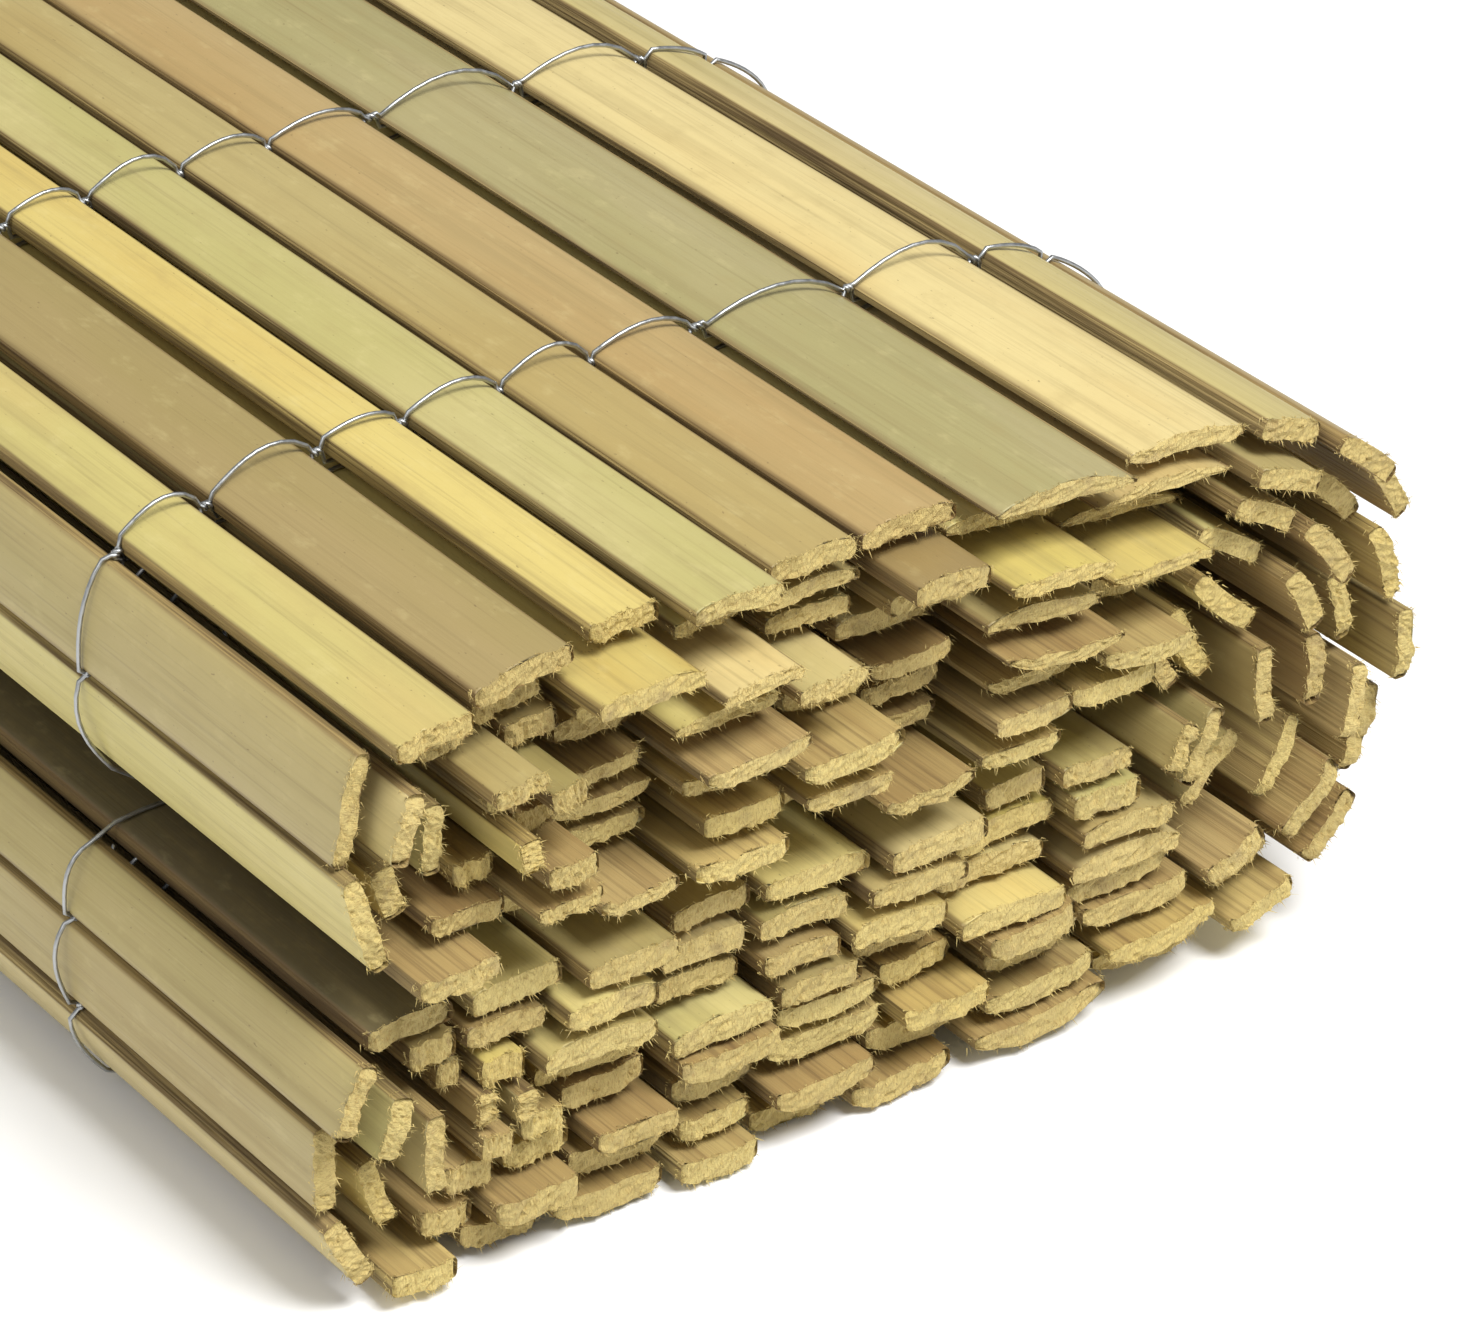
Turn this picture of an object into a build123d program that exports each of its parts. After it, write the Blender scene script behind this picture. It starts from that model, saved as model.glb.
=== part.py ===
"""Split bamboo screening, rolled flat and folded over once.

Straight bamboo slats lie side by side and are bound into one long sheet by rows of wire.
The sheet is wound into a flat spiral, and the flat roll is folded in half, so the end shows
an upper and a lower arm, with two lobes on the left (-X) and the fold on the right (+X).
Slats run along Y. All sizes are in millimetres.
"""

import math
import os

from build123d import *

# Sheet
SCREEN_HEIGHT = 1000.0  # length of a slat, which is the height of the screen once it stands
SLAT_THICKNESS = 5.2  # thickest slat, measured at its crown
SLAT_PITCH = 20.5  # usual distance from one slat to the next
SLAT_GAP = 2.4  # least space between two slats
CULM_RADIUS = 42.0  # radius of the cane's skin, which crowns the slat
WIDTH_SPREAD = 3.0  # narrowest slat against the widest in the same space
THICKNESS_SPREAD = 0.8  # thinnest slat against the thickest, where the roll is tight
LOOSE_THICKNESS_SPREAD = 1.7  # the same inside the upper arm, which is loose
PITCH_SPREAD = 0.14  # share by which a slat's space differs from its neighbours'
END_SPREAD = 4.0  # how far the cut ends stand before or behind each other, where the roll is tight
LOOSE_END_SPREAD = 10.0

# Wire
WIRE_DIAMETER = 1.0
WIRE_ROWS = 8
END_MARGIN = 90.0  # from a slat's end to the nearest row of wire
WIRE_DIP = 1.8  # how far the wire drops between two slats of the outer turn
SEAT_CLEARANCE = 0.15  # between a slat and the wire that holds it

# Roll
TURNS = 4  # turns of the flat spiral, each two layers in both arms
LAYER_SLACK = 1.2  # room between the layers where the roll is thickest
FOLD_GAP = 5.6  # room between the upper and the lower arm
UPPER_LOBE_SQUEEZE = 0.89  # height of the upper arm at its lobe, against its middle
LOWER_LOBE_SQUEEZE = 0.96
FOLD_SQUEEZE = 0.92  # height of both arms where the fold starts
LOBE_RAMP = 42.0  # lengths along X of the three stretches of a layer
FLAT_STRETCH = 90.0
FOLD_RAMP = 40.0
LOBE_RAMP_SLATS = 2
FLAT_SLATS = 4
FOLD_RAMP_SLATS = 2
TOP_SHARES = ((1.0, 1.04), (0.84, 1.04, 0.94, 1.18), (1.06, 0.94))  # spaces of the top slats, lobe to fold
LOWER_ARM_SHIFT = -5.0  # the lower lobe stands further out than the upper one
LAYER_STAGGER = 5.0  # how far the slats of one layer are moved against the next
LOBE_STEP = 6.2  # each turn's lobe reaches this much further out than the one inside it
FOLD_STEP = 3.5
LOBE_BULGE = 0.5  # how far a lobe bulges, against a round one
FOLD_BULGE = 1.0
LOBE_SLAT_PITCH = 25.0  # space of a slat in a lobe
INNER_LOBE_ROOM = 1.0  # the innermost lobe has no upright slat and stays this far behind the next
OUTER_END_SLATS = 3  # slats of the sheet's outer end that hang round the fold

# Values that follow from the ones above
LAYERS = 2 * TURNS
LAYER_PITCH = SLAT_THICKNESS + WIRE_DIAMETER + 2 * SEAT_CLEARANCE + LAYER_SLACK
WIRE_PITCH = (SCREEN_HEIGHT - 2 * END_MARGIN) / (WIRE_ROWS - 1)
UPPER, LOWER = 1, -1
LOBE_SIDE, FOLD_SIDE = -1, 1
BULGE = {LOBE_SIDE: LOBE_BULGE, FOLD_SIDE: FOLD_BULGE}
BEND_PITCH = {LOBE_SIDE: LOBE_SLAT_PITCH, FOLD_SIDE: SLAT_PITCH}
SQUEEZE = {UPPER: UPPER_LOBE_SQUEEZE, LOWER: LOWER_LOBE_SQUEEZE}
ARM_SHIFT = {UPPER: 0.0, LOWER: LOWER_ARM_SHIFT}
ARM_NAME = {UPPER: "upper", LOWER: "lower"}
SKIN = SLAT_THICKNESS / 2  # from the sheet's middle line to the crown of a slat


def vary(index, step):
    """A repeatable value from -1 to 1 that differs from slat to slat."""
    return math.sin(index * step + step)


class Cell:
    """The straight space of one slat along the sheet, or a bare bend of wire where node is None."""

    def __init__(self, start, end, node):
        self.start, self.end, self.node = Vector(start), Vector(end), node
        self.along = (self.end - self.start).normalized()
        self.out = Vector(self.along.Y, -self.along.X)  # towards the sheet's outer side
        self.length = (self.end - self.start).length

    def turn_to(self, other):
        return math.radians(self.along.get_angle(other.along))


# Layout of the sheet in the XZ plane, as points (x, z) with the fold's plane at z = 0


def layer_height(arm, layer):
    return arm * (FOLD_GAP / 2 + (layer - 0.5) * LAYER_PITCH)


def lobe_turn(layer):
    """Number of the lobe that a layer ends in, 1 for the innermost."""
    return layer - TURNS if layer > TURNS else TURNS + 1 - layer


def lobe_x(arm, layer):
    turn = lobe_turn(layer)
    room = INNER_LOBE_ROOM if turn == 1 else 0.0
    return ARM_SHIFT[arm] + (TURNS - turn) * LOBE_STEP + room


def fold_rank(arm, layer):
    """Number of the bend that a layer passes through at the fold, 1 for the innermost."""
    return layer - 1 if arm == LOWER and layer > TURNS else layer


def fold_x(arm, layer):
    return LOBE_RAMP + FLAT_STRETCH + FOLD_RAMP + fold_rank(arm, layer) * FOLD_STEP


def layer_cells(arm, layer, node):
    """The slats of one layer from its lobe to the fold: a ramp, a flat stretch and another ramp."""
    z = layer_height(arm, layer)
    stagger = LAYER_STAGGER * vary(layer, 2.1 + arm)
    corners = [
        (lobe_x(arm, layer), z * SQUEEZE[arm]),
        (LOBE_RAMP + ARM_SHIFT[arm] + stagger, z),
        (LOBE_RAMP + FLAT_STRETCH + stagger, z),
        (fold_x(arm, layer), z * FOLD_SQUEEZE),
    ]
    counts = (LOBE_RAMP_SLATS, FLAT_SLATS, FOLD_RAMP_SLATS)
    cells = []
    for stretch, (start, end, count) in enumerate(zip(corners, corners[1:], counts)):
        a, b = Vector(start), Vector(end)
        shares = [1 + PITCH_SPREAD * vary(len(cells) + i + 3 * layer, 2.7 + arm) for i in range(count)]
        if arm == UPPER and layer == LAYERS:
            shares = TOP_SHARES[stretch]
        points = [a + (b - a) * (sum(shares[:i]) / sum(shares)) for i in range(count + 1)]
        cells += [Cell(p, q, node) for p, q in zip(points, points[1:])]
    return cells


def reversed_cells(cells):
    return [Cell(c.end, c.start, c.node) for c in reversed(cells)]


def bend_steps(height, pitch):
    """How many slats stand in a bend of that height, and the space of each."""
    best = (0, height)
    for count in range(1, 4 * TURNS):
        rise = sum(math.sin(m * math.pi / (count + 1)) for m in range(1, count + 1))
        if abs(height / rise - pitch) < abs(best[1] - pitch) or best[0] == 0:
            best = (count, height / rise)
    return best if height > 0.7 * SLAT_PITCH else (0, height)


def bend_cells(start, end, side, node, keep=None):
    """Slats that turn the sheet back on itself from start to end, bulging towards side."""
    rise = end.Y - start.Y
    count, space = bend_steps(abs(rise), BEND_PITCH[side])
    if count == 0:
        return [Cell(start, end, None)]
    cells, here = [], start
    for m in range(1, count + 1):
        angle = m * math.pi / (count + 1)
        across = side * BULGE[side] * space * math.cos(angle)
        up = math.copysign(space, rise) * math.sin(angle)
        there = here + Vector(across, up)
        cells.append(Cell(here, there, node))
        here = there
    return cells[:keep]


def sheet_cells():
    """Every slat space along the sheet, from its outer end over the top to the middle of the roll."""

    def layer(arm, number):
        top = arm == UPPER and number == LAYERS
        return layer_cells(arm, number, "top_slat" if top else f"{ARM_NAME[arm]}_layer_{number}")

    def bend(before, after, side, node):
        return bend_cells(before[-1].end, after[0].start, side, node)

    top = layer(UPPER, LAYERS)
    corner = top[-1].end
    below = Vector(corner.X, -corner.Y)
    hang = bend_cells(corner, below, FOLD_SIDE, "outer_end_slat", OUTER_END_SLATS)
    cells = reversed_cells(hang)
    for turn in range(TURNS, 0, -1):
        outer, inner = TURNS + turn, TURNS + 1 - turn
        upper_out = reversed_cells(layer(UPPER, outer))
        upper_in = layer(UPPER, inner)
        lower_in = reversed_cells(layer(LOWER, inner))
        lower_out = layer(LOWER, outer)
        if turn < TURNS:
            cells += bend(cells, upper_out, FOLD_SIDE, f"fold_turn_{outer}")
        cells += upper_out
        cells += bend(upper_out, upper_in, LOBE_SIDE, f"upper_lobe_turn_{turn}")
        cells += upper_in
        cells += bend(upper_in, lower_in, FOLD_SIDE, f"fold_turn_{inner}")
        cells += lower_in
        cells += bend(lower_in, lower_out, LOBE_SIDE, f"lower_lobe_turn_{turn}")
        cells += lower_out
    return cells


# Solids


def in_section(point):
    """A point of the XZ layout on the working plane of the slats' section."""
    return (point.X, point.Y)


SECTION = Plane(origin=(0, 0, 0), x_dir=(1, 0, 0), z_dir=(0, -1, 0))


def slat(index, cell, before, after):
    """One slat: flat split face inside, crowned skin outside, cut square at both ends."""
    corner_room = [
        SLAT_GAP / 2 + SKIN * math.tan(cell.turn_to(other) / 2) if other else SLAT_GAP / 2
        for other in (before, after)
    ]
    spare = WIDTH_SPREAD * (0.5 + 0.5 * vary(index, 2.4))
    lean = 0.5 + 0.5 * vary(index, 1.3)
    left = corner_room[0] + spare * lean
    right = cell.length - corner_room[1] - spare * (1 - lean)
    crown = CULM_RADIUS - math.sqrt(CULM_RADIUS**2 - ((right - left) / 2) ** 2)
    loose = cell.node.startswith(f"{ARM_NAME[UPPER]}_layer")
    thinner = LOOSE_THICKNESS_SPREAD if loose else THICKNESS_SPREAD
    end_spread = LOOSE_END_SPREAD if loose else END_SPREAD
    thickness = SLAT_THICKNESS - thinner * (0.5 + 0.5 * vary(index, 1.7))

    def at(along, out):
        return in_section(cell.start + cell.along * along + cell.out * out)

    skin_edge = SKIN - crown
    split_face = SKIN - thickness
    with BuildSketch(SECTION) as section:
        with BuildLine():
            ThreePointArc(at(left, skin_edge), at((left + right) / 2, SKIN), at(right, skin_edge))
            Polyline(
                at(right, skin_edge), at(right, split_face), at(left, split_face), at(left, skin_edge)
            )
        make_face()
    near = SCREEN_HEIGHT / 2 + end_spread * vary(index, 4.1)
    far = SCREEN_HEIGHT / 2 + end_spread * vary(index, 3.3)
    return extrude(Pos(0, -near, 0) * section.sketch, -(near + far))


def meet(first, second, out):
    """Where the lines at distance out from two neighbouring cells meet."""
    half = first.turn_to(second) / 2
    middle = (first.out + second.out).normalized()
    return first.end + middle * (out / math.cos(half))


def wire_edge(cells, dipped, out):
    """One edge of the wire's ribbon, at distance out from the sheet's middle line."""
    points = [cells[0].start + cells[0].out * out]
    for first, second in zip(cells, cells[1:]):
        corner = meet(first, second, out)
        if first in dipped and second in dipped:
            points.append(corner - first.along * SLAT_GAP / 2)
            points.append(corner - (first.out + second.out).normalized() * WIRE_DIP)
            points.append(corner + second.along * SLAT_GAP / 2)
        elif first.turn_to(second) > 1e-6:
            points.append(corner)
    points.append(cells[-1].end + cells[-1].out * out)
    return points


def wire(cells, dipped):
    """One row of binding wire, over the outer side of every slat from end to end of the sheet."""
    inner = SKIN + SEAT_CLEARANCE
    near = wire_edge(cells, dipped, inner)
    far = wire_edge(cells, dipped, inner + WIRE_DIAMETER)
    outline = [in_section(p) for p in near + far[::-1]]
    with BuildSketch(SECTION) as section:
        with BuildLine():
            Polyline(*outline, close=True)
        make_face()
    return extrude(Pos(0, -WIRE_DIAMETER / 2, 0) * section.sketch, -WIRE_DIAMETER)


def build():
    """Every node's solids by name, standing on z = 0 with the roll's box centred over the origin."""
    cells = sheet_cells()
    own_node = ("outer_end_slat", "top_slat", f"upper_lobe_turn_{TURNS}", f"lower_lobe_turn_{TURNS}")
    nodes = {}
    for index, cell in enumerate(cells):
        if cell.node is None:
            continue
        before = cells[index - 1] if index else None
        after = cells[index + 1] if index + 1 < len(cells) else None
        nodes.setdefault(cell.node, []).append(slat(index, cell, before, after))
    for name in own_node:
        for number, solid in enumerate(nodes.pop(name), 1):
            nodes[f"{name}_{number}"] = [solid]
    dipped = [cell for cell in cells if cell.node in own_node]
    row = wire(cells, dipped)
    for number in range(WIRE_ROWS):
        y = -SCREEN_HEIGHT / 2 + END_MARGIN + number * WIRE_PITCH
        nodes[f"binding_wire_{number + 1}"] = [Pos(0, y, 0) * row]
    boxes = [solid.bounding_box() for solids in nodes.values() for solid in solids]
    middle_x = (min(b.min.X for b in boxes) + max(b.max.X for b in boxes)) / 2
    middle_y = (min(b.min.Y for b in boxes) + max(b.max.Y for b in boxes)) / 2
    place = Pos(-middle_x, -middle_y, -min(b.min.Z for b in boxes))
    return {name: [place * s for s in solids] for name, solids in nodes.items()}


if __name__ == "__main__":
    os.makedirs("parts", exist_ok=True)
    for name, solids in build().items():
        export_step(Compound(solids), f"parts/{name}.step")
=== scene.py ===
"""Split bamboo screening: the seen slats and wires, their materials, the camera and the light."""

import math

import bpy
import numpy as np
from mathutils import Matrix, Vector


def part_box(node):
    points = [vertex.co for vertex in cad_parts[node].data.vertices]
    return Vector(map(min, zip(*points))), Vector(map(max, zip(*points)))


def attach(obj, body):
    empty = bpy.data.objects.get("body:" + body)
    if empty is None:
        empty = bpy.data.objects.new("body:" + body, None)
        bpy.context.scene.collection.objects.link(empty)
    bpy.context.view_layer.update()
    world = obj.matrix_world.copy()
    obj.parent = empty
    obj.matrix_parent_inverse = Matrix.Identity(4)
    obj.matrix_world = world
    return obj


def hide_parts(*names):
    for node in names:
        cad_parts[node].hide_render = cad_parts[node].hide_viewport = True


MM = 0.001

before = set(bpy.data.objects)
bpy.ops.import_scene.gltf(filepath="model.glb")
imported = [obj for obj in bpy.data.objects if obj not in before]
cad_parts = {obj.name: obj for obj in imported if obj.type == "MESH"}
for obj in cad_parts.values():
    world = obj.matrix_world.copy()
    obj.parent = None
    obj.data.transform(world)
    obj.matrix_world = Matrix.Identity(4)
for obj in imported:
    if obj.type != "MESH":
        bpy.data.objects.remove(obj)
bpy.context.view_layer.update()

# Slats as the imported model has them

TURNS = 4
END_DEPTH = 0.01 * MM  # corners this near to a slat's end lie in it
ON_LINE = 0.02 * MM  # points this near to a line lie on it
LEAST_WIDTH = 4 * MM
EDGE_SHARE = 0.49  # points farther out than this share of the width are on the split edges
SECTION_AXIS = {"x": 0, "z": 1}


class Slat:
    """One slat's section in the XZ plane.

    base is the middle of the split face, along runs across the width, and out runs towards the skin.
    """

    def __init__(self, points):
        self.near = points[:, 1].min()
        self.far = points[:, 1].max()
        end = points[points[:, 1] < self.near + END_DEPTH][:, [0, 2]]
        end = np.unique(np.round(end, 6), axis=0)
        apart = np.linalg.norm(end[:, None] - end[None], axis=2)
        pairs = [(i, j) for i in range(len(end)) for j in range(i) if apart[i, j] > LEAST_WIDTH]
        i, j = max(pairs, key=lambda pair: (self.bounding_length(end, *pair), *pair))
        across = end[j] - end[i]
        self.base = (end[i] + end[j]) / 2
        self.width = float(np.linalg.norm(across))
        self.along = across / self.width
        self.out = np.array([self.along[1], -self.along[0]])
        side = (end - self.base) @ self.out
        if side.mean() < 0:
            self.along = -self.along
            self.out = -self.out
            side = -side
        self.thickness = float(side.max())
        edge = np.abs((end - self.base) @ self.along) > EDGE_SHARE * self.width
        self.edge = float(side[edge].max())

    @staticmethod
    def bounding_length(points, i, j):
        """The length of the line from i to j if all the points lie on one side of it, else 0."""
        along = points[j] - points[i]
        length = np.linalg.norm(along)
        normal = np.array([along[1], -along[0]]) / length
        side = (points - points[i]) @ normal
        bounded = side.min() > -ON_LINE or side.max() < ON_LINE
        return length if bounded else 0.0


def islands(node):
    """The separate solids of a node, as arrays of their corners."""
    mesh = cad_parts[node].data
    world = np.array(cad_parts[node].matrix_world)
    co = np.empty(len(mesh.vertices) * 3)
    mesh.vertices.foreach_get("co", co)
    co = co.reshape(-1, 3) @ world[:3, :3].T + world[:3, 3]
    keys, index = np.unique(np.round(co, 6), axis=0, return_inverse=True)
    index = index.reshape(-1)
    group = np.arange(len(keys))
    edges = index[np.array([e.vertices[:] for e in mesh.edges])]
    while True:
        low = np.minimum(group[edges[:, 0]], group[edges[:, 1]])
        new = group.copy()
        np.minimum.at(new, edges[:, 0], low)
        np.minimum.at(new, edges[:, 1], low)
        if (new == group).all():
            break
        group = new
    return [keys[group == g] for g in np.unique(group)]


slats = {
    name: [Slat(points) for points in islands(name)]
    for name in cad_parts
    if not name.startswith("binding_wire")
}

# The way along the sheet, from its free outer end to the middle of the roll


def in_order(node, axis, backwards=False):
    column = SECTION_AXIS[axis]
    ordered = sorted(slats.get(node, []), key=lambda s: s.base[column], reverse=backwards)
    return [(s, node) for s in ordered]


def numbered(stem):
    names = sorted(name for name in slats if name.startswith(stem))
    return [(slats[name][0], name) for name in names]


def whole_sheet():
    """Every slat with its node's name, in the order in which the wires bind them."""
    order = numbered("outer_end_slat") + numbered("top_slat") + numbered(f"upper_lobe_turn_{TURNS}")
    order += in_order("upper_layer_1", "x") + in_order("lower_layer_1", "x", True)
    order += numbered(f"lower_lobe_turn_{TURNS}") + in_order(f"lower_layer_{2 * TURNS}", "x")
    for turn in range(TURNS - 1, 0, -1):
        outer = TURNS + turn
        inner = TURNS + 1 - turn
        order += in_order(f"fold_turn_{outer}", "z") + in_order(f"upper_layer_{outer}", "x", True)
        order += in_order(f"upper_lobe_turn_{turn}", "z", True) + in_order(f"upper_layer_{inner}", "x")
        order += in_order(f"fold_turn_{inner}", "z", True) + in_order(f"lower_layer_{inner}", "x", True)
        order += in_order(f"lower_lobe_turn_{turn}", "z", True) + in_order(f"lower_layer_{outer}", "x")
    return order


sheet = whole_sheet()

# Colours


def linear(red, green, blue):
    return tuple(((c / 255 + 0.055) / 1.055) ** 2.4 for c in (red, green, blue))


PALE_YELLOW = linear(212, 196, 128)
YELLOW = linear(200, 181, 108)
CREAM_GREEN = linear(192, 180, 120)
OLIVE_TAN = linear(166, 150, 98)
ORANGE_TAN = linear(178, 153, 102)
GREY_GREEN = linear(166, 155, 110)
BROWN_TAN = linear(155, 136, 90)
KHAKI = linear(172, 156, 104)
WEATHERED = linear(106, 94, 66)
STRAW = linear(198, 177, 110)
PALE_GREEN = linear(188, 175, 108)
PALE_TAN = linear(202, 184, 128)

OUTER_TONES = {
    "top_slat_8": STRAW,
    "top_slat_7": BROWN_TAN,
    "top_slat_6": YELLOW,
    "top_slat_5": CREAM_GREEN,
    "top_slat_4": OLIVE_TAN,
    "top_slat_3": ORANGE_TAN,
    "top_slat_2": GREY_GREEN,
    "top_slat_1": PALE_TAN,
    "outer_end_slat_3": PALE_TAN,
    "outer_end_slat_2": BROWN_TAN,
    "outer_end_slat_1": KHAKI,
    "upper_lobe_turn_4_1": KHAKI,
    "upper_lobe_turn_4_2": PALE_YELLOW,
    "lower_lobe_turn_4_1": KHAKI,
    "lower_lobe_turn_4_2": KHAKI,
    "lower_lobe_turn_4_3": PALE_TAN,
}
INNER_TONES = (PALE_YELLOW, KHAKI, OLIVE_TAN, PALE_TAN, YELLOW, BROWN_TAN, KHAKI, CREAM_GREEN)
SECOND_TONES = {"top_slat_8": PALE_GREEN}
GREENER = (0.91, 0.93, 0.83)
BROWNER = (0.94, 0.88, 0.8)

# Steps from slat to slat of what differs between them
TONE_STEP = 5
LIGHT_STEP = 2.4
LIGHT_SPREAD = 0.1
SHIFT_STEP = 3.7
GRAIN_STEP = 0.37

# Tints that the materials turn a slat's tone towards
BROAD_GRAIN = linear(132, 116, 74)
FINE_GRAIN = linear(116, 98, 60)
DARK_MOTTLE = linear(158, 138, 88)
PALE_MOTTLE = linear(222, 208, 150)
RIM_BROWN = linear(112, 88, 52)
SPECK_BROWN = linear(96, 76, 48)
SPLIT_AMBER = linear(166, 136, 80)
SPLIT_BROWN = linear(128, 98, 54)
SPLIT_DARK = linear(92, 68, 38)
# The edge amber and edge dark tints are darker than the fibres' own colour: painted shade on the slats'
# side walls
EDGE_AMBER_WITH_PAINTED_SHADE = linear(150, 122, 68)
EDGE_BROWN = linear(92, 70, 38)
EDGE_DARK_WITH_PAINTED_SHADE = linear(72, 52, 28)
END_PALE = linear(216, 194, 124)
END_FIBRE = linear(158, 126, 68)
END_GRAIN = linear(168, 138, 82)
END_PORE = linear(104, 80, 44)
END_STAIN = linear(146, 124, 88)
ZINC_DULL = linear(150, 152, 152)
ZINC_BRIGHT = linear(196, 198, 198)
PAPER_WHITE = (0.93, 0.93, 0.93)

# Materials


class Nodes:
    """A short way to write a material's nodes."""

    def __init__(self, name):
        self.material = bpy.data.materials.new(name)
        self.material.use_nodes = True
        self.tree = self.material.node_tree
        self.shader = self.tree.nodes["Principled BSDF"]

    def add(self, kind, inputs=None, **settings):
        node = self.tree.nodes.new("ShaderNode" + kind)
        for key, value in settings.items():
            setattr(node, key, value)
        for key, value in (inputs or {}).items():
            self.put(node.inputs[key], value)
        return node

    def put(self, socket, value):
        if isinstance(value, bpy.types.NodeSocket):
            self.tree.links.new(value, socket)
        elif isinstance(value, tuple) and len(value) == 3 and socket.type == "RGBA":
            socket.default_value = (*value, 1.0)
        else:
            socket.default_value = value

    def attribute(self, name, output):
        return self.add("Attribute", attribute_name=name).outputs[output]

    def number(self, operation, *values):
        return self.add("Math", dict(enumerate(values)), operation=operation).outputs[0]

    def vector(self, operation, *values):
        return self.add("VectorMath", dict(enumerate(values)), operation=operation).outputs[0]

    def combine(self, *values):
        return self.add("CombineXYZ", dict(enumerate(values))).outputs[0]

    def here(self):
        return self.add("NewGeometry").outputs["Position"]

    def place(self, stretch):
        """Positions drawn out along the slats, and moved from slat to slat so that no two are alike."""
        seed = self.attribute("seed", "Fac")
        moved = self.vector("ADD", self.here(), self.combine(seed, seed, seed))
        return self.vector("MULTIPLY", moved, (1.0, stretch, 1.0))

    def noise(self, where, scale, detail=3.0, rough=0.55):
        inputs = {"Vector": where, "Scale": scale, "Detail": detail, "Roughness": rough}
        return self.add("TexNoise", inputs).outputs[0]

    def ramp(self, value, low, high, start=0.0, end=1.0):
        bounds = {0: value, 1: low, 2: high, 3: start, 4: end}
        return self.add("MapRange", bounds, interpolation_type="SMOOTHSTEP").outputs[0]

    def mix(self, share, first, second):
        node = self.add("Mix", data_type="RGBA")
        self.put(node.inputs[0], share)
        self.put(node.inputs[6], first)
        self.put(node.inputs[7], second)
        return node.outputs[2]

    def stain(self, colour, tint, value, low, high, most):
        """The colour, turned towards a tint by a share that grows to most from low to high values."""
        return self.mix(self.ramp(value, low, high, 0.0, most), colour, tint)

    def finish(self, colour, roughness, height=None, depth=0.0):
        self.put(self.shader.inputs["Base Color"], colour)
        self.put(self.shader.inputs["Roughness"], roughness)
        if height is not None:
            bump = self.add("Bump", {"Height": height, "Strength": 1.0, "Distance": depth})
            self.put(self.shader.inputs["Normal"], bump.outputs[0])
        return self.material


def skin_material():
    """The cane's smooth skin: two tones along a slat, fine grain, darker edges, a few small specks."""
    n = Nodes("bamboo skin")
    blotch = n.noise(n.place(stretch=0.22), scale=28.0)
    fine = n.noise(n.place(stretch=0.012), scale=1500.0)
    broad = n.noise(n.place(stretch=0.02), scale=260.0)
    mottle = n.noise(n.place(stretch=0.45), scale=210.0, detail=4.0, rough=0.65)
    speck = n.noise(n.place(stretch=0.4), scale=1500.0, detail=1.0)
    frayed = n.noise(n.place(stretch=0.05), scale=500.0)
    across = n.add("SeparateXYZ", {0: n.attribute("section", "Vector")}).outputs[2]
    rim = n.number("ADD", n.number("ABSOLUTE", across), n.number("MULTIPLY", frayed, 0.16))
    two_tones = n.ramp(blotch, low=0.4, high=0.62)
    colour = n.mix(two_tones, n.attribute("tone", "Color"), n.attribute("far_tone", "Color"))
    colour = n.stain(colour, BROAD_GRAIN, broad, low=0.45, high=0.78, most=0.35)
    colour = n.stain(colour, FINE_GRAIN, fine, low=0.5, high=0.78, most=0.28)
    colour = n.stain(colour, DARK_MOTTLE, mottle, low=0.5, high=0.78, most=0.22)
    colour = n.stain(colour, PALE_MOTTLE, mottle, low=0.46, high=0.26, most=0.14)
    colour = n.stain(colour, RIM_BROWN, rim, low=0.96, high=1.1, most=0.75)
    colour = n.stain(colour, SPECK_BROWN, speck, low=0.74, high=0.8, most=0.45)
    roughness = n.ramp(broad, low=0.2, high=0.8, start=0.42, end=0.6)
    return n.finish(colour, roughness, height=fine, depth=0.1 * MM)


def split_material():
    """The split face inside: bare fibres, amber to brown."""
    n = Nodes("bamboo split face")
    fine = n.noise(n.place(stretch=0.01), scale=1100.0, detail=4.0)
    broad = n.noise(n.place(stretch=0.03), scale=180.0)
    colour = n.mix(0.6, n.attribute("tone", "Color"), SPLIT_AMBER)
    colour = n.stain(colour, SPLIT_BROWN, broad, low=0.35, high=0.75, most=0.55)
    colour = n.stain(colour, SPLIT_DARK, fine, low=0.45, high=0.72, most=0.5)
    return n.finish(colour, roughness=0.75, height=fine, depth=0.4 * MM)


def side_material():
    """The split edges of a slat: coarse fibres with dark lines, darkened past their own colour as
    painted shade so that the side walls read as shadow.
    """
    n = Nodes("bamboo split edge with painted shade")
    fine = n.noise(n.place(stretch=0.008), scale=1600.0, detail=4.0)
    broad = n.noise(n.place(stretch=0.05), scale=300.0)
    # painted shade: the tone is mixed towards a darker amber so that the split edges read as shadow
    colour = n.mix(0.6, n.attribute("tone", "Color"), EDGE_AMBER_WITH_PAINTED_SHADE)
    colour = n.stain(colour, EDGE_BROWN, fine, low=0.4, high=0.66, most=0.7)
    # broad patches turned darker still, partly dark fibre and partly painted shade
    colour = n.stain(colour, EDGE_DARK_WITH_PAINTED_SHADE, broad, low=0.42, high=0.68, most=0.6)
    return n.finish(colour, roughness=0.85, height=fine, depth=0.5 * MM)


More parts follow.
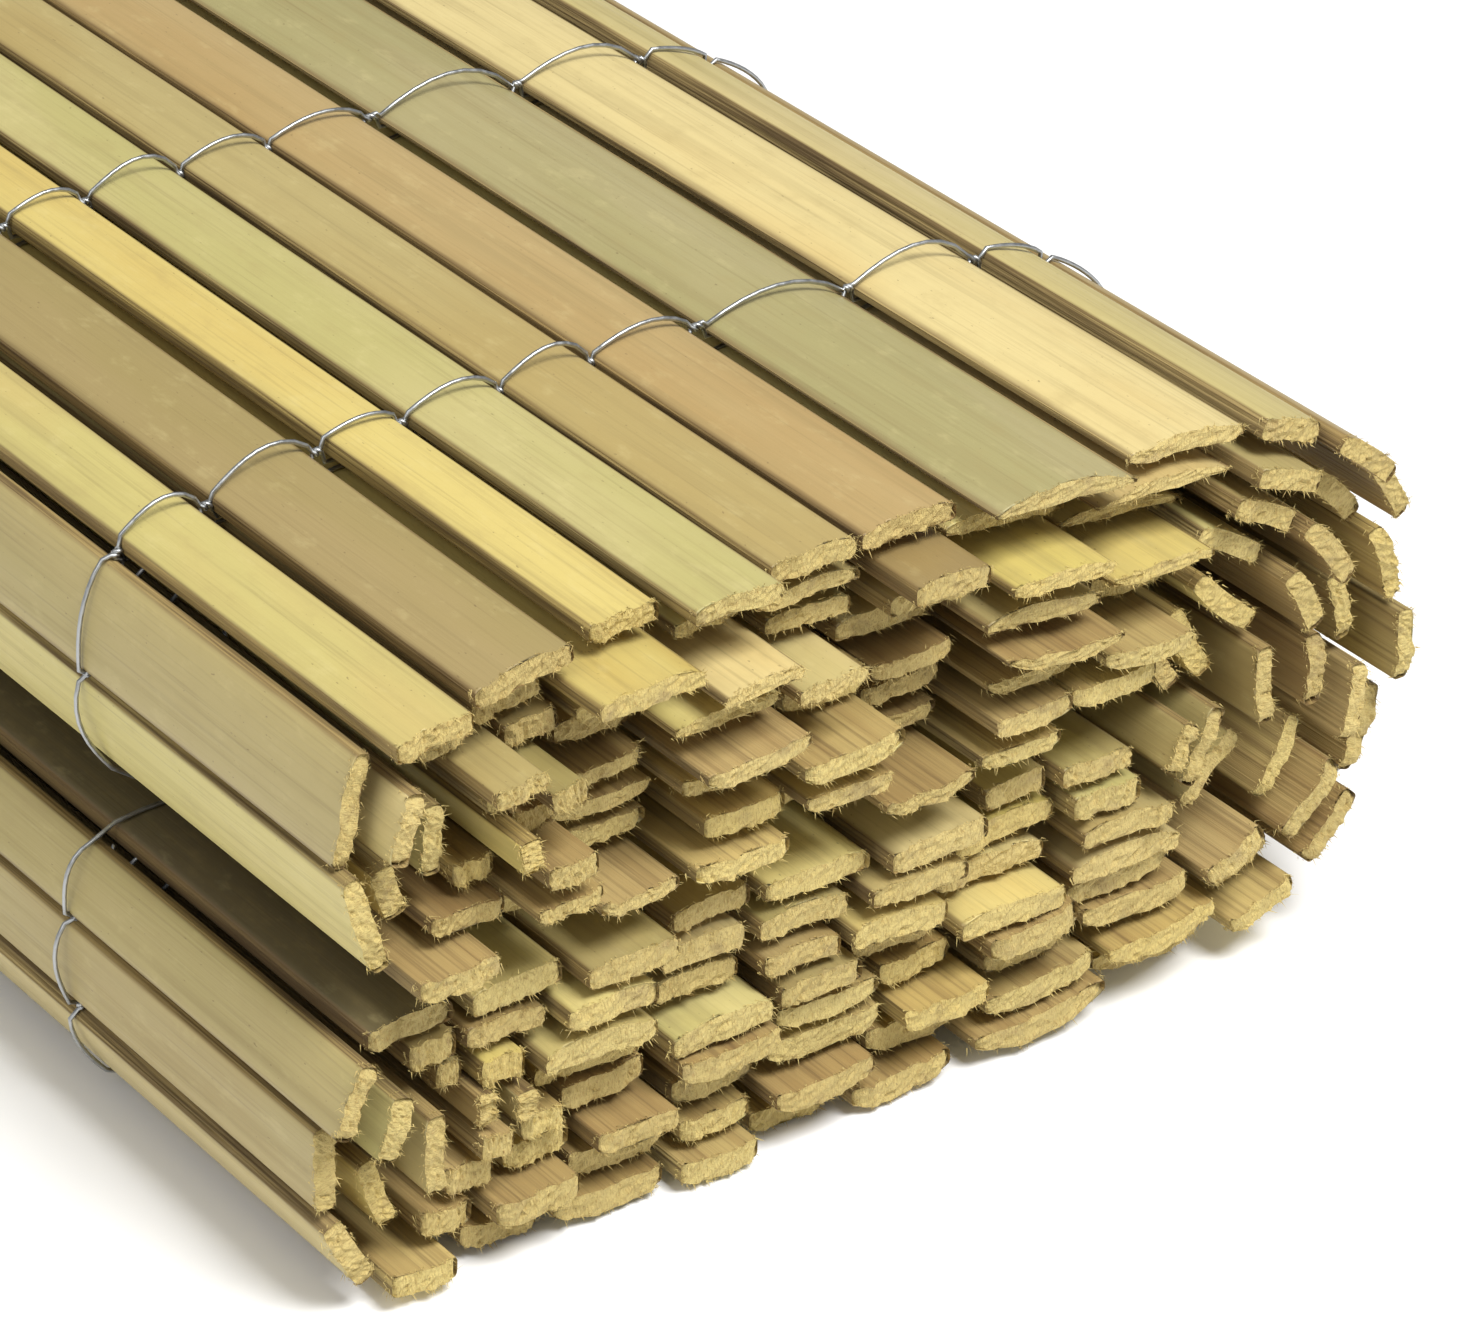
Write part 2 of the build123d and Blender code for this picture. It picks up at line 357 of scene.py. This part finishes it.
def end_material():
    """The cut ends: fine torn fibres that run through the slat's thickness, pale, with dark pores."""
    n = Nodes("bamboo cut end")
    seed = n.attribute("seed", "Fac")
    through = n.vector("MULTIPLY", n.attribute("section", "Vector"), (1.0, 0.2, 1.0))
    fibre = n.noise(n.vector("ADD", through, n.combine(seed, seed)), scale=3200.0, rough=0.65)
    grain = n.noise(n.place(stretch=1.0), scale=1500.0, detail=4.0, rough=0.7)
    pores = n.noise(n.place(stretch=1.0), scale=2600.0, detail=2.0)
    damp = n.noise(n.place(stretch=1.0), scale=150.0)
    colour = n.mix(0.7, n.attribute("tone", "Color"), END_PALE)
    colour = n.stain(colour, END_FIBRE, fibre, low=0.45, high=0.72, most=0.65)
    colour = n.stain(colour, END_GRAIN, grain, low=0.5, high=0.72, most=0.4)
    colour = n.stain(colour, END_PORE, pores, low=0.62, high=0.7, most=0.45)
    colour = n.stain(colour, END_STAIN, damp, low=0.55, high=0.75, most=0.45)
    return n.finish(colour, roughness=0.95, height=n.number("ADD", fibre, grain), depth=0.5 * MM)


def wire_material():
    n = Nodes("galvanised wire")
    n.put(n.shader.inputs["Metallic"], 1.0)
    dull = n.noise(n.here(), scale=700.0)
    roughness = n.ramp(dull, low=0.3, high=0.7, start=0.3, end=0.5)
    return n.finish(n.mix(dull, ZINC_DULL, ZINC_BRIGHT), roughness)


SLAT_MATERIALS = (skin_material(), split_material(), side_material(), end_material())
SKIN, SPLIT, SIDE, END = range(4)

# The seen shape of a slat

COLUMNS = 20  # steps across a slat
ROWS = 5  # steps through its thickness
CROWDING = 0.85  # under 1, the steps across crowd towards the edges
INNER_HOLLOW = 0.5 * MM  # hollow of the split face
FULLER = 0.8 * MM  # torn fibres under the slats of the lower arm fill the room between its layers
EDGE_ROUND = 0.35 * MM
ROUND_THROUGH = 4  # the higher, the closer to the corners the rounding stays
ROUND_ACROSS = 8
TILT = math.radians(3.5)  # how far a slat inside the roll lies askew
BROADER = 0.14  # share of the space on each side that a slat's torn edges take up
LOBE_BROADER = 0.36  # the same for the broad slats outside the lobes

# Rings of the mesh: close together near both ends, far apart between
NEAR_STEPS = np.array([0.0, 0.5, 1.2, 2.5, 5.0, 9.0, 15.0, 24.0]) * MM
LONG_STEPS = 14

# How a slat strays sideways along its length
SIDE_ROOM = 0.42  # share of the space beside a slat that it may stray into
MOST_ROOM = 2.4 * MM
EDGE_STRAY = 0.15  # shares of that room for each edge, for the whole slat, and for its slant
BOW_STRAY = 0.3
SLANT_STRAY = 0.6
WAVES = ((9.0, 0.6), (23.0, 0.3), (61.0, 0.2))  # rate along the slat, and size

# Cut ends
END_RAGGED = 1.1 * MM
FIBRE_RAGGED = 0.22  # share of it from corner to corner of the mesh
TEAR_RAGGED = 0.7  # share of it from tear to tear
TEARS = 6
CORNER_WORN = (0.4, 2.2)  # millimetres that an end's corners are worn back
CORNER_POWER = 7

# Loose fibres at the cut ends
HAIRS = 190
MIDDLE_HAIR_EVERY = 4  # one fibre in so many stands inside the rim
HAIR_LENGTH = 2.0 * MM
HAIR_SHARES = (0.25, 1.0)
HAIR_POWER = 2.2  # most fibres are short
HAIR_WIDTH = 0.09 * MM
HAIR_ROOT = 4 * HAIR_WIDTH
HAIR_SCATTER = 0.4 * MM
SCATTER_SHARES = (1, 0, 0.4)
HAIR_LEAN = 0.8
HAIR_DROOP = 0.2
HAIR_STAND = (0.1, 1.0)
HAIR_FACES = [(0, 1, 3), (1, 2, 3), (2, 0, 3)]


def ring_index():
    """The corners round a section, and which face of the slat each step between them belongs to."""
    bottom = [(c, 0) for c in range(COLUMNS)]
    right = [(COLUMNS, r) for r in range(ROWS)]
    top = [(c, ROWS) for c in range(COLUMNS, 0, -1)]
    left = [(0, r) for r in range(ROWS, 0, -1)]
    faces = [SPLIT] * COLUMNS + [SIDE] * ROWS + [SKIN] * COLUMNS + [SIDE] * ROWS
    return np.array(bottom + right + top + left), np.array(faces)


RING, RING_FACE = ring_index()
RING_COLUMN = RING[:, 0]
RING_ROW = RING[:, 1]
SHARE = np.linspace(0, 1, COLUMNS + 1)  # share of the width at each column


class Shape:
    """Corners, faces and face kinds of one node's slats, gathered before the mesh is made."""

    def __init__(self):
        self.points = []
        self.faces = []
        self.kinds = []
        self.sections = []
        self.seeds = []
        self.tones = []
        self.far_tones = []
        self.count = 0

    def put(self, points, faces, kinds, look, section):
        seed, tone, far_tone = look
        self.points.append(points)
        self.sections.append(section)
        self.faces += [tuple(i + self.count for i in f) for f in faces]
        self.kinds += list(kinds)
        self.seeds.append(np.full(len(points), seed))
        self.tones.append(np.tile((*tone, 1.0), (len(points), 1)))
        self.far_tones.append(np.tile((*far_tone, 1.0), (len(points), 1)))
        self.count += len(points)

    def mesh(self, name):
        mesh = bpy.data.meshes.new(name)
        mesh.from_pydata(np.concatenate(self.points).tolist(), [], self.faces)
        for material in SLAT_MATERIALS:
            mesh.materials.append(material)
        mesh.polygons.foreach_set("material_index", self.kinds)
        mesh.polygons.foreach_set("use_smooth", [k in (SKIN, SPLIT) for k in self.kinds])
        seed = mesh.attributes.new("seed", "FLOAT", "POINT")
        seed.data.foreach_set("value", np.concatenate(self.seeds))
        for layer, tones in (("tone", self.tones), ("far_tone", self.far_tones)):
            tone = mesh.attributes.new(layer, "FLOAT_COLOR", "POINT")
            tone.data.foreach_set("color", np.concatenate(tones).reshape(-1))
        section = mesh.attributes.new("section", "FLOAT_VECTOR", "POINT")
        section.data.foreach_set("vector", np.concatenate(self.sections).reshape(-1))
        mesh.update()
        return mesh


def section_grid(slat, fuller):
    """Points across and through the slat, in metres from the middle of its split face."""
    a = np.linspace(-1, 1, COLUMNS + 1)[:, None]
    h = np.linspace(0, 1, ROWS + 1)[None, :]
    a = np.sign(a) * np.abs(a) ** CROWDING
    top = slat.edge + (slat.thickness - slat.edge) * (1 - a**2)
    bottom = INNER_HOLLOW * (1 - a**2) - fuller
    v = bottom + h * (top - bottom)
    corner = EDGE_ROUND * np.abs(2 * h - 1) ** ROUND_THROUGH * np.abs(a) ** ROUND_ACROSS
    return a * (slat.width / 2) - np.sign(a) * corner, v - np.sign(2 * h - 1) * corner


def tilted(u, v, slat, tilt):
    """A section turned about the slat's middle, and sunk so that it stays in its layer."""
    middle = slat.thickness / 2
    turned_u = u * math.cos(tilt) - (v - middle) * math.sin(tilt)
    turned_v = middle + u * math.sin(tilt) + (v - middle) * math.cos(tilt)
    return turned_u, turned_v - abs(tilt) * slat.width / 4


def ring_places(slat):
    length = slat.far - slat.near
    between = np.linspace(NEAR_STEPS[-1], length - NEAR_STEPS[-1], LONG_STEPS)[1:-1]
    return slat.near + np.concatenate([NEAR_STEPS, between, (length - NEAR_STEPS)[::-1]])


def wander(rng, y, amount):
    """A slow wave along a slat."""
    phases = rng.uniform(0, 2 * math.pi, len(WAVES))
    return amount * sum(size * np.sin(rate * y + phase) for phase, (rate, size) in zip(phases, WAVES))


def sideways(rng, slat, y, room):
    """How far each column strays sideways at each ring."""
    left = wander(rng, y, EDGE_STRAY * room)
    right = wander(rng, y, EDGE_STRAY * room)
    bow = wander(rng, y, BOW_STRAY * room)
    slant = rng.uniform(-SLANT_STRAY, SLANT_STRAY) * room
    bow = bow + slant * (2 * (y - slat.near) / (slat.far - slat.near) - 1)
    return bow[:, None] + left[:, None] * (1 - SHARE) + right[:, None] * SHARE


def ragged(rng):
    """How far each corner of a cut end stands out."""
    cut = rng.normal(0, FIBRE_RAGGED, (COLUMNS + 1, ROWS + 1)) * END_RAGGED
    tears = rng.uniform(-TEAR_RAGGED, TEAR_RAGGED, TEARS)
    cut += END_RAGGED * np.interp(SHARE, np.linspace(0, 1, TEARS), tears)[:, None]
    worn = rng.uniform(*CORNER_WORN) * MM * np.abs(2 * SHARE - 1) ** CORNER_POWER
    return cut - worn[:, None]


def in_place(slat, u, v, y):
    x = slat.base[0] + u * slat.along[0] + v * slat.out[0]
    z = slat.base[1] + u * slat.along[1] + v * slat.out[1]
    return np.stack([x, y, z], axis=-1)


def add_length(shape, slat, u, v, y, stray, ends, look):
    """The skin, the split face and the split edges from end to end."""
    ring_u = u[RING_COLUMN, RING_ROW]
    ring_v = v[RING_COLUMN, RING_ROW]
    points = []
    for k, at in enumerate(y):
        ring_y = np.full(len(RING), at)
        if k in ends:
            ring_y = ring_y + ends[k][RING_COLUMN, RING_ROW]
        points.append(in_place(slat, ring_u + stray[k][RING_COLUMN], ring_v, ring_y))
    size = len(RING)
    faces = []
    kinds = []
    for k in range(len(y) - 1):
        for i in range(size):
            j = (i + 1) % size
            faces.append((k * size + i, (k + 1) * size + i, (k + 1) * size + j, k * size + j))
            kinds.append(RING_FACE[i])
    section = np.stack([ring_u, ring_v, 2 * SHARE[RING_COLUMN] - 1], axis=-1)
    shape.put(np.concatenate(points), faces, kinds, look, np.tile(section, (len(y), 1)))


def add_end(shape, slat, u, v, y, stray, way, rng, look):
    """A cut end with its loose fibres."""
    cap = in_place(slat, u + stray[:, None], v, y).reshape(-1, 3)
    grid = np.arange(len(cap)).reshape(COLUMNS + 1, ROWS + 1)
    quads = []
    for c in range(COLUMNS):
        for r in range(ROWS):
            quad = (grid[c, r], grid[c + 1, r], grid[c + 1, r + 1], grid[c, r + 1])
            quads.append(quad if way > 0 else quad[::-1])
    section = np.stack([u, v, 0 * u], axis=-1).reshape(-1, 3)
    shape.put(cap, quads, [END] * len(quads), look, section)
    hairs(shape, cap, section, way, rng, look)


def hairs(shape, cap, section, way, rng, look):
    """Loose fibres that stand out of a cut end, most of them along its rim."""
    rim = RING_COLUMN * (ROWS + 1) + RING_ROW
    for number in range(HAIRS):
        i = rng.choice(rim) if number % MIDDLE_HAIR_EVERY else rng.integers(0, len(cap))
        root = cap[i] + rng.normal(0, HAIR_SCATTER, 3) * SCATTER_SHARES
        lean_x = rng.normal(0, HAIR_LEAN)
        lean_y = way * rng.uniform(*HAIR_STAND)
        lean_z = rng.normal(-HAIR_DROOP, HAIR_LEAN)
        lean = np.array([lean_x, lean_y, lean_z])
        length = HAIR_LENGTH * rng.uniform(*HAIR_SHARES) ** HAIR_POWER
        tip = root + lean / np.linalg.norm(lean) * length
        foot = root + rng.normal(0, HAIR_WIDTH, (3, 3))
        foot[:, 1] = root[1] - way * HAIR_ROOT
        around = np.tile(section[i], (4, 1))
        shape.put(np.vstack([foot, tip]), HAIR_FACES, [END] * len(HAIR_FACES), look, around)


def add_slat(shape, slat, index, look, askew, fuller, room):
    rng = np.random.default_rng(index + 7)
    u, v = section_grid(slat, fuller)
    u, v = tilted(u, v, slat, askew * rng.uniform(-1, 1))
    y = ring_places(slat)
    stray = sideways(rng, slat, y, room)
    last = len(y) - 1
    ends = {0: -ragged(rng), last: ragged(rng)}
    add_length(shape, slat, u, v, y, stray, ends, look)
    add_end(shape, slat, u, v, y[0] + ends[0], stray[0], -1, rng, look)
    add_end(shape, slat, u, v, y[last] + ends[last], stray[last], 1, rng, look)


def show(name, mesh, *nodes):
    piece = bpy.data.objects.new(name, mesh)
    bpy.context.scene.collection.objects.link(piece)
    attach(piece, "root")
    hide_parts(*nodes)
    return piece


def edges(slat):
    """The two split edges of a slat, at half its thickness."""
    middle = slat.base + slat.out * slat.thickness / 2
    return middle - slat.along * slat.width / 2, middle + slat.along * slat.width / 2


def space_between(first, second):
    return min(float(np.linalg.norm(a - b)) for a in edges(first) for b in edges(second))


def spaces_beside():
    """The smaller of the two spaces beside each slat of the sheet."""
    spaces = [space_between(a[0], b[0]) for a, b in zip(sheet, sheet[1:])]
    return [min(spaces[max(index - 1, 0) : index + 1]) for index in range(len(sheet))]


def look_of(index, node):
    """Grain, tone and second tone of a slat."""
    tone = OUTER_TONES.get(node, INNER_TONES[(index * TONE_STEP) % len(INNER_TONES)])
    tone = WEATHERED if index == weathered else tone
    light = 1 + LIGHT_SPREAD * math.sin(index * LIGHT_STEP)
    tone = tuple(c * light for c in tone)
    shift = GREENER if math.sin(index * SHIFT_STEP) > 0 else BROWNER
    second = tuple(c * k for c, k in zip(tone, shift))
    return index * GRAIN_STEP, tone, SECOND_TONES.get(node, second)


weathered = [node for _, node in sheet].index("lower_lobe_turn_4_1") - 1
for (slat, node), space in zip(sheet, spaces_beside()):
    slat.width += 2 * space * (LOBE_BROADER if "lobe_turn_4" in node else BROADER)
shapes = {}
for index, ((slat, node), space) in enumerate(zip(sheet, spaces_beside())):
    shape = shapes.setdefault(node, Shape())
    askew = 0.0 if node in OUTER_TONES else TILT
    fuller = FULLER if node.startswith("lower_layer") else 0.0
    add_slat(shape, slat, index, look_of(index, node), askew, fuller, min(SIDE_ROOM * space, MOST_ROOM))
for node, shape in shapes.items():
    show(f"{node}_seen", shape.mesh(node), node)

# Wire

WIRE_RADIUS = 0.5 * MM
WIRE_SIDES = 6
SEAT = 0.15 * MM
OUTER_STEPS = 9  # points of a strand on each slat
INNER_STEPS = 4
TWIST_RADIUS = 0.55 * MM
TWIST_STEPS = 7
TWIST_START = 0.2  # shares of the space between two slats where the twist starts, and that it takes up
TWIST_SHARE = 0.6

# How far the wire stands off the slats of the outer turn, and how that differs by slat and row
ARCH = {
    "outer_end_slat": 0.8 * MM,
    "top_slat": 3.0 * MM,
    "upper_lobe_turn_4": 2.4 * MM,
    "lower_lobe_turn_4": 2.4 * MM,
}
ARCH_MEAN = 0.75
ARCH_SPREAD = 0.35
ARCH_SLAT_STEP = 1.9
ARCH_ROW_RATE = 40
ARCH_LEAN = 0.75  # under 1, an arch is highest before its middle


def stem(node):
    return node.rsplit("_", 1)[0]


def is_outer(node):
    return stem(node) in ARCH


def forward(slat, ahead):
    """1 if the slat's own way along its width runs on towards the next slat, else -1."""
    return 1 if (ahead - slat.base) @ slat.along > 0 else -1


def across_slat(slat, way, arch, steps, under):
    """Section points of a strand over a slat, or behind it."""
    points = []
    for s in np.linspace(0, 1, steps):
        a = 2 * s - 1
        skin = slat.edge + (slat.thickness - slat.edge) * (1 - a * a)
        over = skin + SEAT + WIRE_RADIUS + arch * math.sin(math.pi * s**ARCH_LEAN)
        lift = -(SEAT + WIRE_RADIUS) if under else over
        points.append(slat.base + way * a * slat.width / 2 + slat.out * lift)
    return points


def twist(slat, way, after, y, under):
    """Points of a strand on its turn round the other one, between two slats."""
    onward = after.along * forward(after, after.base * 2 - slat.base)
    start = slat.base + way * slat.width / 2 + slat.out * slat.thickness / 2
    end = after.base - onward * after.width / 2 + after.out * after.thickness / 2
    up = (slat.out + after.out) / np.linalg.norm(slat.out + after.out)
    points = []
    for q in np.linspace(0, 1, TWIST_STEPS):
        turn = math.pi / 2 - 2 * math.pi * q + (math.pi if under else 0)
        at = start + (end - start) * (TWIST_START + TWIST_SHARE * q) + up * TWIST_RADIUS * math.sin(turn)
        points.append((at[0], y + TWIST_RADIUS * math.cos(turn), at[1]))
    return points


def strand(run, y, under):
    """Points of the strand over the slats of a run, or of the one behind them."""
    points = []
    for i, (slat, node) in enumerate(run):
        ahead = run[i + 1][0].base if i + 1 < len(run) else 2 * slat.base - run[i - 1][0].base
        way = slat.along * forward(slat, ahead)
        differs = math.sin(i * ARCH_SLAT_STEP + y * ARCH_ROW_RATE)
        arch = ARCH.get(stem(node), 0.0) * (ARCH_MEAN + ARCH_SPREAD * differs)
        steps = OUTER_STEPS if is_outer(node) else INNER_STEPS
        points += [(x, y, z) for x, z in across_slat(slat, way, arch, steps, under)]
        if i + 1 < len(run) and is_outer(node) and is_outer(run[i + 1][1]):
            points += twist(slat, way, run[i + 1][0], y, under)
    return np.array(points)


def tube(path):
    """A round wire along a path."""
    ahead = np.gradient(path, axis=0)
    ahead /= np.linalg.norm(ahead, axis=1)[:, None]
    first = np.cross(ahead, (0, 1, 0))
    first /= np.linalg.norm(first, axis=1)[:, None]
    second = np.cross(ahead, first)
    turn = np.arange(WIRE_SIDES) * 2 * math.pi / WIRE_SIDES
    ring = np.cos(turn)[None, :, None] * first[:, None] + np.sin(turn)[None, :, None] * second[:, None]
    points = (path[:, None] + WIRE_RADIUS * ring).reshape(-1, 3)
    faces = []
    for k in range(len(path) - 1):
        a = k * WIRE_SIDES
        b = a + WIRE_SIDES
        for i in range(WIRE_SIDES):
            j = (i + 1) % WIRE_SIDES
            faces.append((a + i, b + i, b + j, a + j))
    last = (len(path) - 1) * WIRE_SIDES
    faces.append(tuple(range(WIRE_SIDES)))
    faces.append(tuple(last + i for i in range(WIRE_SIDES))[::-1])
    return points, faces


def wire_mesh(name, y):
    """One row: a strand over the whole sheet, and a second one behind the slats of the outer turn."""
    points = []
    faces = []
    for run, under in ((sheet, False), (upper_run, True), (lower_run, True)):
        more, joined = tube(strand(run, y, under))
        faces += [tuple(i + len(points) for i in f) for f in joined]
        points += more.tolist()
    mesh = bpy.data.meshes.new(name)
    mesh.from_pydata(points, [], faces)
    mesh.materials.append(galvanised)
    mesh.polygons.foreach_set("use_smooth", [True] * len(faces))
    return mesh


galvanised = wire_material()
lower_run = [pair for pair in sheet if pair[1].startswith("lower_lobe_turn_4")]
upper_run = [pair for pair in sheet if is_outer(pair[1]) and pair not in lower_run]
for node in sorted(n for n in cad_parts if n.startswith("binding_wire")):
    low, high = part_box(node)
    show(f"{node}_seen", wire_mesh(node, (low[1] + high[1]) / 2), node)

# Floor and light

FLOOR_REACH = 6
WORLD_LIGHT = 0.35
LIT_POINT = (0, -0.4, 0.1)
KEY_AT = (0.3, -1.7, 2.3)
KEY_POWER = 84.0
KEY_SIZE = 1.1
FILL_AT = (-1.8, -0.8, 1.6)
FILL_POWER = 14.0
FILL_SIZE = 1.5

corners = [(-1, -1), (1, -1), (1, 1), (-1, 1)]
floor_mesh = bpy.data.meshes.new("floor")
floor_mesh.from_pydata([(FLOOR_REACH * x, FLOOR_REACH * y, 0) for x, y in corners], [], [(0, 1, 2, 3)])
floor_mesh.materials.append(Nodes("white paper").finish(PAPER_WHITE, roughness=1.0))
floor = bpy.data.objects.new("floor", floor_mesh)
bpy.context.scene.collection.objects.link(floor)

world = bpy.data.worlds.new("studio")
world.use_nodes = True
world.node_tree.nodes["Background"].inputs[0].default_value = (1.0, 1.0, 1.0, 1.0)
world.node_tree.nodes["Background"].inputs[1].default_value = WORLD_LIGHT
bpy.context.scene.world = world


def lamp(name, place, power, size):
    light = bpy.data.lights.new(name, "AREA")
    light.energy = power
    light.size = size
    piece = bpy.data.objects.new(name, light)
    piece.location = place
    piece.rotation_euler = (Vector(LIT_POINT) - Vector(place)).to_track_quat("-Z", "Y").to_euler()
    bpy.context.scene.collection.objects.link(piece)


lamp("key", KEY_AT, KEY_POWER, KEY_SIZE)
lamp("fill", FILL_AT, FILL_POWER, FILL_SIZE)

# Camera

CAMERA_AT = (-0.6215, -1.3112, 0.6926)
CAMERA_AZIMUTH = math.radians(35.72)
CAMERA_DOWN = math.radians(30.2)
CAMERA_LENS = 155.7
CAMERA_SENSOR = 36.0
CAMERA_NEAREST = 0.01

camera = bpy.data.objects.new("camera", bpy.data.cameras.new("camera"))
camera.data.lens = CAMERA_LENS
camera.data.sensor_width = CAMERA_SENSOR
camera.data.clip_start = CAMERA_NEAREST
camera.location = CAMERA_AT
camera.rotation_euler = (math.pi / 2 - CAMERA_DOWN, 0, -CAMERA_AZIMUTH)
bpy.context.scene.collection.objects.link(camera)
bpy.context.scene.camera = camera
bpy.context.scene.view_settings.view_transform = "Standard"
